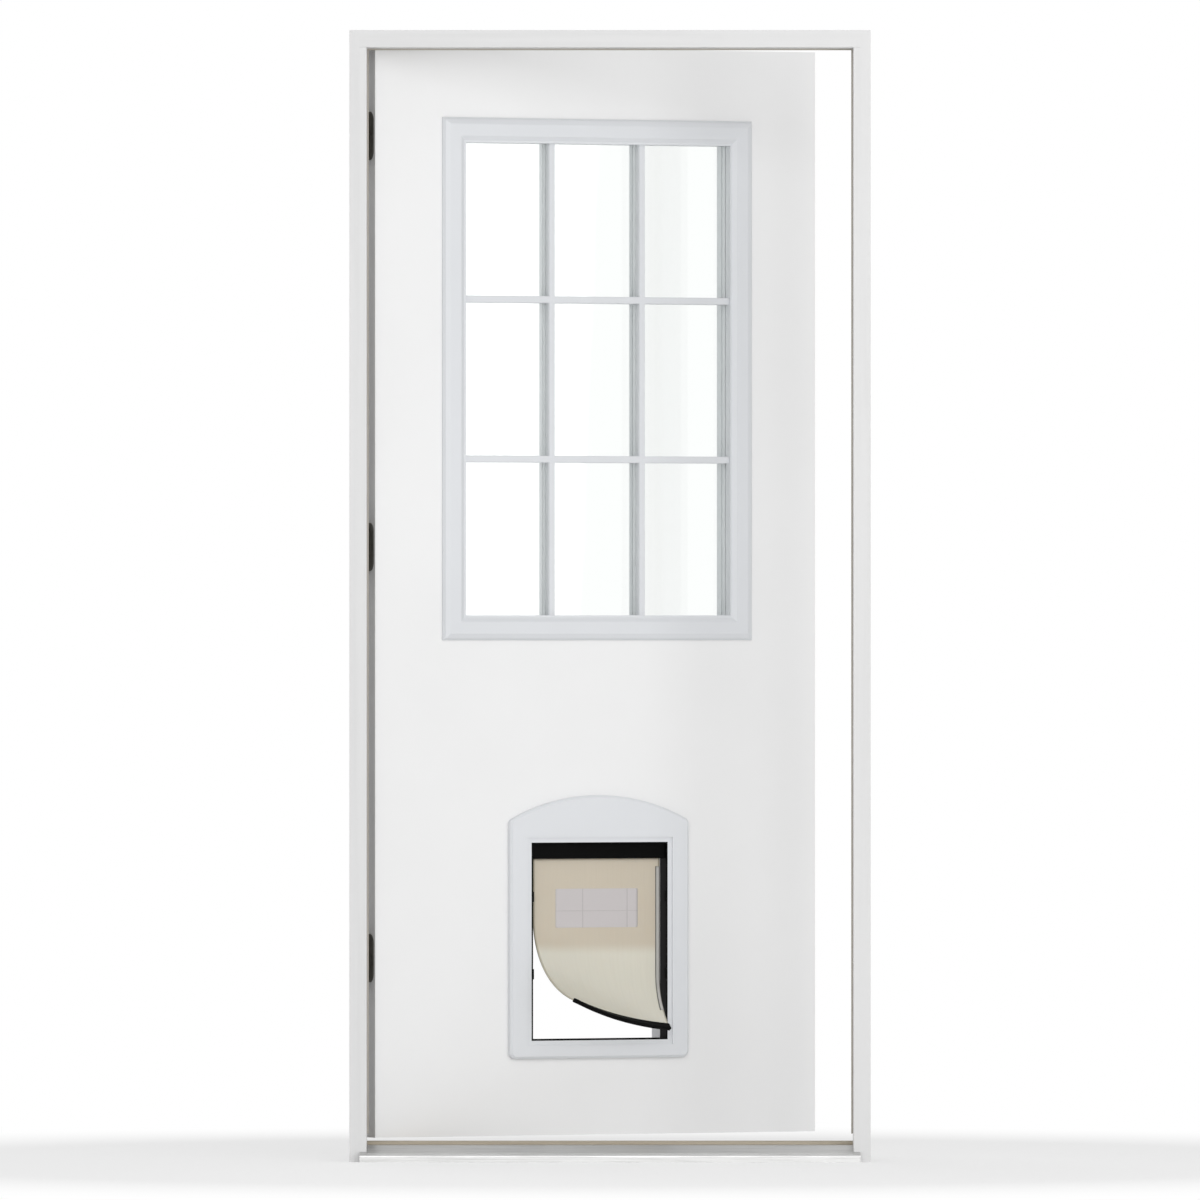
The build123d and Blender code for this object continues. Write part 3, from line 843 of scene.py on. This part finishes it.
@dataclass
class CurledFlap:
    """Vinyl flap whose lower hinge-side corner has curled outwards, with its label, edge strip and magnet."""

    space: SlabSpace
    width: float = 0.260
    length: float = 0.326
    thickness: float = 0.003
    tuck: float = 0.002
    slant: float = math.radians(23.7)
    start: float = 0.147
    turn: float = math.radians(85.0)
    growth: float = 0.9
    curl_samples: int = 600
    curl_spare: float = 1.05
    sheet_grid: tuple[int, int] = (72, 56)
    magnet_width: float = 0.013
    magnet_thickness: float = 0.008
    magnet_round: float = 0.0022
    magnet_stations: int = 64
    magnet_crisp: float = 50.0
    label_width: float = 0.169
    label_height: float = 0.072
    label_drop: float = 0.0905
    label_corner: float = 0.0025
    label_thickness: float = 0.0003
    label_grid: tuple[int, int] = (30, 40)
    strip_width: float = 0.009
    strip_inset: float = 0.0004
    strip_top: float = 0.014
    strip_bottom: float = 0.284
    strip_thickness: float = 0.0012
    strip_grid: tuple[int, int] = (60, 5)

    def curl(self, rolled: np.ndarray) -> tuple[np.ndarray, np.ndarray, np.ndarray]:
        """Roll of the sheet past its start line.

        The turn grows as a power of the distance past the line. Its cosine and sine add up to the way gone in
        the sheet's plane and out of it.

        Args:
            rolled: distance past the start line, metres.

        Returns:
            Way gone ahead, way out and angle turned, one value a point.
        """
        span = self.width / 2 * math.sin(self.slant) + self.length * math.cos(self.slant) - self.start
        fine = np.linspace(0.0, span * self.curl_spare, self.curl_samples)
        angle = self.turn * (fine / span) ** self.growth
        step = np.diff(fine)
        ahead = np.concatenate([[0], np.cumsum(step * (np.cos(angle[1:]) + np.cos(angle[:-1])) / 2)])
        out = np.concatenate([[0], np.cumsum(step * (np.sin(angle[1:]) + np.sin(angle[:-1])) / 2)])
        past = np.maximum(rolled, 0.0)
        flat = np.minimum(rolled, 0.0)
        return np.interp(past, fine, ahead) + flat, np.interp(past, fine, out), np.interp(past, fine, angle)

    def surface(self, x: np.ndarray, drop: np.ndarray, lift: np.ndarray | float = 0.0) -> np.ndarray:
        """Points of the rolled sheet.

        Each is its flat place, drawn back against the roll's direction, moved outwards, and lifted off the
        sheet along its normal.

        Args:
            x: place across the flat flap from its middle, metres.
            drop: place below the flap's axis on the flat flap, metres.
            lift: height above the sheet's middle, towards outdoors.

        Returns:
            Points in the frame, three numbers each.
        """
        rolled = -x * math.sin(self.slant) + drop * math.cos(self.slant) - self.start
        ahead, out, angle = self.curl(rolled)
        down = np.array([0.0, 0.0, -1.0])
        roll_way = -math.sin(self.slant) * self.space.along + math.cos(self.slant) * down
        flat = self.space.flap_axis + x[..., None] * self.space.along + drop[..., None] * down
        normal = np.cos(angle)[..., None] * self.space.outward - np.sin(angle)[..., None] * roll_way
        moved = flat + (ahead - rolled)[..., None] * roll_way + out[..., None] * self.space.outward
        return moved + np.broadcast_to(lift, x.shape)[..., None] * normal

    def build_sheet(self) -> bpy.types.Object:
        """Build the vinyl sheet: a grid over its width and drop, given its thickness.

        Returns:
            The sheet.
        """
        rows, columns = self.sheet_grid
        x = np.linspace(-self.width / 2, self.width / 2, columns)
        drop = np.linspace(-self.tuck, self.length - self.magnet_width, rows)
        across, down = np.meshgrid(x, drop)
        uv = np.stack([across / self.width + 0.5, down / self.length], axis=-1)
        sheet = make_piece("vinyl_flap", self.surface(across, down), grid_quads(rows, columns).tolist(), uv)
        thicken(sheet, self.thickness, even=True)
        return sheet

    def build_magnet(self) -> bpy.types.Object:
        """Build the magnet strip: a round-cornered bar carried along the rolled lower edge.

        Returns:
            The strip.
        """
        loop = round_rectangle(self.magnet_width, self.magnet_thickness, self.magnet_round)
        x = np.linspace(-self.width / 2, self.width / 2, self.magnet_stations)
        drop = self.length - self.magnet_width / 2 + loop[:, 0]
        down, across = np.meshgrid(drop, x)
        lift = np.broadcast_to(loop[:, 1], across.shape)
        faces = tube_faces(self.magnet_stations, len(loop))
        magnet = make_piece("flap_magnet_strip", self.surface(across, down, lift), faces)
        close_up(magnet, self.magnet_crisp)
        return magnet

    def build_label(self) -> bpy.types.Object:
        """Build the blank label: a patch on the sheet, each row as wide as its quarter-round corners allow.

        Returns:
            The label.
        """
        rows, columns = self.label_grid
        side = np.linspace(-1, 1, columns)
        up = self.label_height / 2 * np.sin(np.linspace(-math.pi / 2, math.pi / 2, rows))
        past = np.maximum(np.abs(up) - (self.label_height / 2 - self.label_corner), 0.0)
        corner = np.sqrt(np.maximum(self.label_corner**2 - past**2, 0.0))
        half = self.label_width / 2 - self.label_corner + corner
        across = side[None, :] * half[:, None]
        drop = np.repeat((self.label_drop - up)[:, None], columns, axis=1)
        lift = self.thickness / 2 + self.label_thickness / 2
        place = [across / self.label_width + 0.5, (drop - self.label_drop) / self.label_height + 0.5]
        faces = grid_quads(rows, columns).tolist()
        label = make_piece("blank_label", self.surface(across, drop, lift), faces, np.stack(place, axis=-1))
        thicken(label, self.label_thickness)
        return label

    def build_edge_strip(self) -> bpy.types.Object:
        """Build the clear stiffening strip: a narrow grid along the free edge, on the sheet's outer side.

        Returns:
            The strip.
        """
        rows, columns = self.strip_grid
        x = np.linspace(self.width / 2 - self.strip_width, self.width / 2 - self.strip_inset, columns)
        drop = np.linspace(self.strip_top, self.strip_bottom, rows)
        across, down = np.meshgrid(x, drop)
        lift = self.thickness / 2 + self.strip_thickness / 2
        uv = np.stack([(across - x[0]) / self.strip_width, down / self.length], axis=-1)
        faces = grid_quads(rows, columns).tolist()
        strip = make_piece("flap_edge_strip", self.surface(across, down, lift), faces, uv)
        thicken(strip, self.strip_thickness)
        return strip

    def build(self, dresser: Dresser) -> None:
        """Build and dress the flap's pieces; they ride on the flap and stand for its two solids.

        Args:
            dresser: gives the finishes.
        """
        sheet = self.build_sheet()
        magnet = self.build_magnet()
        label = self.build_label()
        strip = self.build_edge_strip()
        looks = (
            (sheet, "flap_vinyl", "flap_vinyl"),
            (magnet, "black_plastic", "black_plastic"),
            (label, "label_paper", "flap_vinyl"),
            (strip, "strip_film", "flap_vinyl"),
        )
        for piece, finish, slot in looks:
            dresser.dress(piece, finish)
            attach(piece, Body.FLAP.value)
        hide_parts("pet_flap")
        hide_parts("flap_magnet")


@dataclass
class HingeScrews:
    """Countersunk cross-head screws in the hinge leaves, three on each."""

    space: SlabSpace
    gap: float = 0.0052
    offset: float = 0.007
    rise: float = 0.031
    near: float = 0.012
    far: float = 0.026
    head: float = 0.0047
    middle: float = 0.00005
    crown: float = 0.00035
    recess: float = 0.0016
    arm: float = 0.00075
    arm_slope: float = 0.25
    reach: float = 0.0024
    reach_slope: float = 0.4
    shank: float = 0.0021
    rim_depth: float = 0.0003
    shank_depth: float = 0.0023
    rings: int = 22
    spokes: int = 48
    crisp: float = 40.0

    def head_points(self) -> np.ndarray:
        """Head as rings of points: a low crown, less a cross that fades to the ends of its arms, then a skirt.

        The crown falls with the square of the radius. The cross is as deep as its recess where the smaller of
        the two level distances is under half an arm's width.

        Returns:
            Rings of points: two numbers on the leaf's face and one out of it.
        """
        radius = np.linspace(self.middle, self.head, self.rings)[:, None]
        angle = np.linspace(0, 2 * math.pi, self.spokes, endpoint=False)[None, :]
        flat_x = radius * np.cos(angle)
        flat_y = radius * np.sin(angle)
        crown = self.crown * (1 - (radius / self.head) ** 2) * np.ones_like(angle)
        near_arm = np.minimum(np.abs(flat_x), np.abs(flat_y))
        inside = np.clip((self.arm - near_arm) / (self.arm_slope * self.arm), 0, 1)
        fade = np.clip((self.reach - radius) / (self.reach_slope * self.reach), 0, 1)
        top = np.stack([flat_x, flat_y, crown - self.recess * inside * fade], axis=-1)
        skirt_radius = np.array([self.head, self.shank])[:, None]
        skirt_depth = np.array([-self.rim_depth, -self.shank_depth])[:, None] + np.zeros_like(angle)
        skirt = np.stack([skirt_radius * np.cos(angle), skirt_radius * np.sin(angle), skirt_depth], axis=-1)
        return np.concatenate([top, skirt], axis=0)

    def build_set(self, name: str, level: float, side: int, turn: float) -> bpy.types.Object:
        """Build the three screws of one leaf.

        Args:
            name: name of the piece.
            level: height of the hinge's middle.
            side: -1 for the jamb's leaf, 1 for the slab's.
            turn: angle of the leaf from the closed door.

        Returns:
            The screws as one mesh.
        """
        reach = np.array([math.cos(turn), math.sin(turn), 0.0]) * side
        back = np.array([-math.sin(turn), math.cos(turn), 0.0])
        up = np.array([0.0, 0.0, 1.0])
        origin = np.array([self.space.pin[0], self.space.pin[1], level])
        origin = origin + reach * self.gap / 2 - back * self.offset
        spots = np.array([[self.near, self.rise], [self.near, -self.rise], [self.far, 0.0]])
        head = self.head_points()
        rings = len(head)
        local = head.reshape(-1, 3)
        shape = -local[:, :1] * back - local[:, 2:] * reach + local[:, 1:2] * up
        centres = origin - spots[:, :1] * back + spots[:, 1:] * up
        points = centres[:, None, :] + shape[None, :, :]
        first = np.arange(len(spots))[:, None] * len(local)
        sides = grid_quads(rings, self.spokes, wrap=True)[None] + first[:, :, None]
        ring = np.arange(self.spokes)
        middles = first + ring
        ends = first + (rings - 1) * self.spokes + ring
        faces = sides.reshape(-1, 4).tolist() + middles.tolist() + ends.tolist()
        screws = make_piece(name, points, faces)
        close_up(screws, self.crisp)
        return screws

    def build(self, dresser: Dresser) -> None:
        """Build the six sets of screws on their leaves.

        Args:
            dresser: gives the finishes.
        """
        for place in ("lower", "middle", "upper"):
            low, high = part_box(f"{place}_jamb_leaf")
            level = (low.z + high.z) / 2
            for body, side, turn in ((Body.FRAME, -1, 0.0), (Body.DOOR, 1, self.space.turn)):
                screws = self.build_set(f"{place}_{body.value}_screws", level, side, turn)
                dresser.dress(screws, "screw_metal")
                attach(screws, body.value)


@dataclass
class TreadRibs:
    """Ribbed aluminium wear plate on the sloping tread of the sill."""

    nose_height: float = 0.014
    margin: float = 0.006
    pitch: float = 0.0075
    rib: float = 0.0011
    rib_fullness: float = 0.6
    rib_steps: int = 12
    base: float = 0.0006
    sink: float = 0.0004
    side_room: float = 0.0013
    crisp: float = 40.0

    def build(self, dresser: Dresser) -> None:
        """Carry a row of rounded ribs across the doorway: a power of a sine's size, on the tread's slope.

        Args:
            dresser: gives the finishes.
        """
        low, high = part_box("sill")
        cap_low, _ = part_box("sill_cap")
        _, jamb_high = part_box("hinge_jamb")
        front = low.y + self.margin
        back = cap_low.y - self.margin
        slope = (high.z - self.nose_height) / (cap_low.y - low.y)
        count = int((back - front) / self.pitch)
        y = np.linspace(front, front + count * self.pitch, count * self.rib_steps + 1)
        wave = np.abs(np.sin(math.pi * (y - front) / self.pitch)) ** self.rib_fullness
        tread = self.nose_height + (y - low.y) * slope
        top = np.stack([y, tread + self.base + self.rib * wave], axis=-1)
        bottom = np.stack([y, tread - self.sink], axis=-1)[::-1]
        loop = np.concatenate([top, bottom])
        half = abs(jamb_high.x) - self.side_room
        ends = np.array([-half, half])
        x = np.repeat(ends, len(loop))
        outline = np.tile(loop, (len(ends), 1))
        points = np.concatenate([x[:, None], outline], axis=1)
        ribs = make_piece("tread_ribs", points, tube_faces(len(ends), len(loop)))
        close_up(ribs, self.crisp)
        dresser.dress(ribs, "sill_metal")
        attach(ribs, Body.FRAME.value)


@dataclass(frozen=True)
class Lamp:
    """Square soft lamp that faces a point."""

    name: str
    place: Triple
    target: Triple
    size: float
    watts: float

    def build(self) -> None:
        """Add the lamp to the scene."""
        lamp = bpy.data.lights.new(self.name, "AREA")
        lamp.energy = self.watts
        lamp.size = self.size
        holder = bpy.data.objects.new(self.name, lamp)
        aim = np.array(self.target) - np.array(self.place)
        level = math.hypot(aim[0], aim[1])
        holder.location = self.place
        holder.rotation_euler = (math.atan2(level, -aim[2]), 0, math.atan2(aim[1], aim[0]) - math.pi / 2)
        bpy.context.scene.collection.objects.link(holder)


LAMPS = (
    Lamp("key", place=(0.3, -7.2, 2.6), target=(0.0, 0.1, 1.0), size=6.0, watts=197.0),
    Lamp("fill", place=(3.0, -4.0, 1.2), target=(0.0, 0.1, 0.5), size=3.0, watts=42.0),
    Lamp("back_fill", place=(-2.6, 5.2, 3.2), target=(0.0, 0.2, 1.0), size=3.0, watts=45.0),
)


@dataclass
class Studio:
    """Pale floor, soft light and the camera at the photograph's view."""

    photo: float = 1200.0
    top_row: float = 30.0
    foot_row: float = 1162.0
    middle_column: float = 610.0
    distance: float = 30.0
    eye: float = 0.97
    sensor: float = 36.0
    view_depth: float = 200.0
    floor_half: float = 40.0
    floor_tone: float = 0.93
    floor_roughness: float = 0.9
    floor_specular: float = 0.1
    fade_from: float = 0.7
    fade_to: float = 2.2
    least_glow: float = 0.4
    sky_light: float = 0.58

    def build_camera(self) -> None:
        """Level camera in front of the doorway, framed by the rows of the frame's top and foot."""
        frame_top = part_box("head_jamb")[1].z
        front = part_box("hinge_jamb")[0].y
        rows_per_metre = (self.foot_row - self.top_row) / frame_top
        seen = self.photo / rows_per_metre
        middle_level = frame_top - (self.photo / 2 - self.top_row) / rows_per_metre
        aside = (self.photo / 2 - self.middle_column) / rows_per_metre
        camera = bpy.data.cameras.new("front_camera")
        camera.sensor_width = self.sensor
        camera.lens = self.sensor * self.distance / seen
        camera.shift_y = (middle_level - self.eye) / seen
        camera.clip_end = self.view_depth
        holder = bpy.data.objects.new("front_camera", camera)
        holder.location = (aside, front - self.distance, self.eye)
        holder.rotation_euler = (math.pi / 2, 0, 0)
        bpy.context.scene.collection.objects.link(holder)
        bpy.context.scene.camera = holder

    def build_floor(self) -> None:
        """Pale floor that keeps the shadow near the door and fades to the white of the backdrop."""
        corners = self.floor_half * np.array([[-1, -1, 0], [1, -1, 0], [1, 1, 0], [-1, 1, 0]], float)
        floor = make_piece("studio_floor", corners, [[0, 1, 2, 3]])
        material, nodes, shader = new_material("floor")
        shader.inputs["Base Color"].default_value = (*[self.floor_tone] * 3, 1.0)
        shader.inputs["Roughness"].default_value = self.floor_roughness
        shader.inputs["Specular IOR Level"].default_value = self.floor_specular
        length = nodes.add("ShaderNodeVectorMath", operation="LENGTH")
        nodes.link(nodes.object_place(), length.inputs[0])
        away = nodes.ramp(length.outputs["Value"], self.fade_from, self.fade_to)
        glow = nodes.add("ShaderNodeEmission")
        glow.inputs["Color"].default_value = PLAIN_WHITE
        share = nodes.math("MULTIPLY", nodes.math("MAXIMUM", away, self.least_glow), nodes.seen_ray())
        mixed = nodes.mix_shaders(share, shader.outputs["BSDF"], glow.outputs["Emission"])
        nodes.link(mixed, material.node_tree.nodes["Material Output"].inputs["Surface"])
        floor.data.materials.append(material)

    def build_light(self) -> None:
        """White world for what is seen, a dimmer one for light, and the lamps."""
        world = bpy.data.worlds.new("studio")
        bpy.context.scene.world = world
        world.use_nodes = True
        nodes = Nodes(world.node_tree)
        sky = world.node_tree.nodes["Background"]
        sky.inputs["Color"].default_value = PLAIN_WHITE
        sky.inputs["Strength"].default_value = self.sky_light
        backdrop = nodes.add("ShaderNodeBackground")
        backdrop.inputs["Color"].default_value = PLAIN_WHITE
        backdrop.inputs["Strength"].default_value = 1.0
        mixed = nodes.mix_shaders(nodes.seen_ray(), sky.outputs["Background"], backdrop.outputs["Background"])
        nodes.link(mixed, world.node_tree.nodes["World Output"].inputs["Surface"])
        for lamp in LAMPS:
            lamp.build()

    def build(self) -> None:
        """Build camera, floor and light, with colours shown as written."""
        bpy.context.scene.view_settings.view_transform = "Standard"
        self.build_camera()
        self.build_floor()
        self.build_light()


def main() -> None:
    """Dress the frame, then build the flap, screws, ribs and studio in order."""
    logging.basicConfig(level=logging.INFO)
    space = SlabSpace.from_frame()
    dresser = Dresser(space)
    dresser.dress_frame()
    CurledFlap(space).build(dresser)
    HingeScrews(space).build(dresser)
    TreadRibs().build(dresser)
    Studio().build()


if __name__ == "__main__":
    main()
